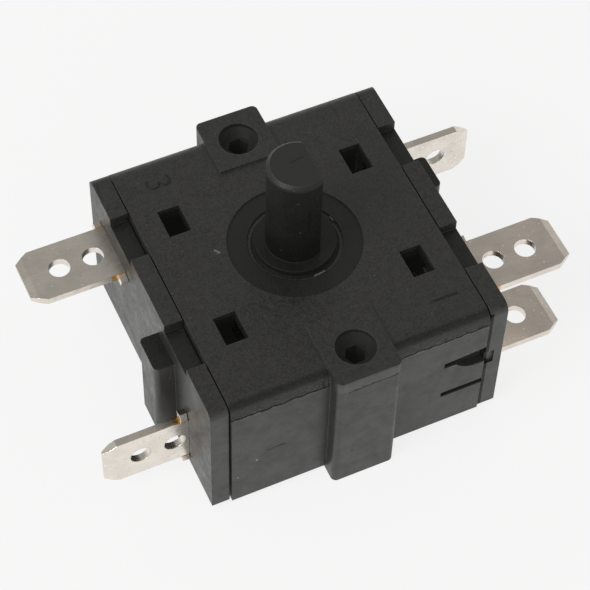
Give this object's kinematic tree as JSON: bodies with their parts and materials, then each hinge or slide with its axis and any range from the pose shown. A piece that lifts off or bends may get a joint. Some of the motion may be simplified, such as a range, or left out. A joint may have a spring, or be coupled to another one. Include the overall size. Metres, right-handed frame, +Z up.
{
  "type": "rotary power switch",
  "caption": "Rotary power switch: a moulded housing with screw ears, a D-flatted shaft on top and flat blade terminals on both end walls.",
  "frame": {"origin": "point under the shaft axis on the plane that the feet of the two ears stand on", "axes": "+Z up along the shaft, +X towards the end wall with three blades, which the shaft's flat faces, +Y towards the rear ear"},
  "size_m": [0.0512, 0.035, 0.0295],
  "materials": {
    "cover_plastic": "fine matte moulded thermoplastic",
    "base_plastic": "fine matte moulded thermoplastic",
    "shaft_plastic": "smooth moulded thermoplastic",
    "tinned_brass": "tin-plated sheet brass with bare cut edges",
    "contact_brass": "stamped brass",
    "spring_bronze": "rolled spring bronze",
    "contact_silver": "silver contact face",
    "rivet_brass": "headed brass",
    "ball_steel": "polished hardened steel",
    "spring_steel": "drawn spring wire"
  },
  "bodies": {
    "housing": {"cover": "cover_plastic", "base": "base_plastic", "detent_spring_left": "spring_steel", "detent_spring_right": "spring_steel", "terminal_left_upper": "tinned_brass", "finger_left_upper": "spring_bronze", "button_left_upper": "contact_silver", "rivet_left_upper": "rivet_brass", "terminal_left_lower": "tinned_brass", "finger_left_lower": "spring_bronze", "button_left_lower": "contact_silver", "rivet_left_lower": "rivet_brass", "terminal_right_upper": "tinned_brass", "finger_right_upper": "spring_bronze", "button_right_upper": "contact_silver", "rivet_right_upper": "rivet_brass", "terminal_right_lower": "tinned_brass", "finger_right_lower": "spring_bronze", "button_right_lower": "contact_silver", "rivet_right_lower": "rivet_brass", "terminal_right_back": "tinned_brass", "finger_right_back": "spring_bronze", "button_right_back": "contact_silver", "rivet_right_back": "rivet_brass"},
    "rotor": {"selector_shaft": "shaft_plastic", "contact_shell": "contact_brass"},
    "ball_left": {"detent_ball_left": "ball_steel"},
    "ball_right": {"detent_ball_right": "ball_steel"}
  },
  "joints": [
    {"name": "shaft_turn", "type": "hinge", "parent": "housing", "child": "rotor", "pos_m": [0, 0, 0.0174], "axis": [0, 0, 1], "continuous": true},
    {"name": "ball_left_slide", "type": "slide", "parent": "housing", "child": "ball_left", "axis": [-1, 0, 0], "range_m": [0, 0.0006], "stiffness_N_per_m": 500, "springref_m": -0.001, "deforming": ["detent_spring_left"]},
    {"name": "ball_right_slide", "type": "slide", "parent": "housing", "child": "ball_right", "axis": [1, 0, 0], "range_m": [0, 0.0006], "stiffness_N_per_m": 500, "springref_m": -0.001, "deforming": ["detent_spring_right"]}
  ]
}
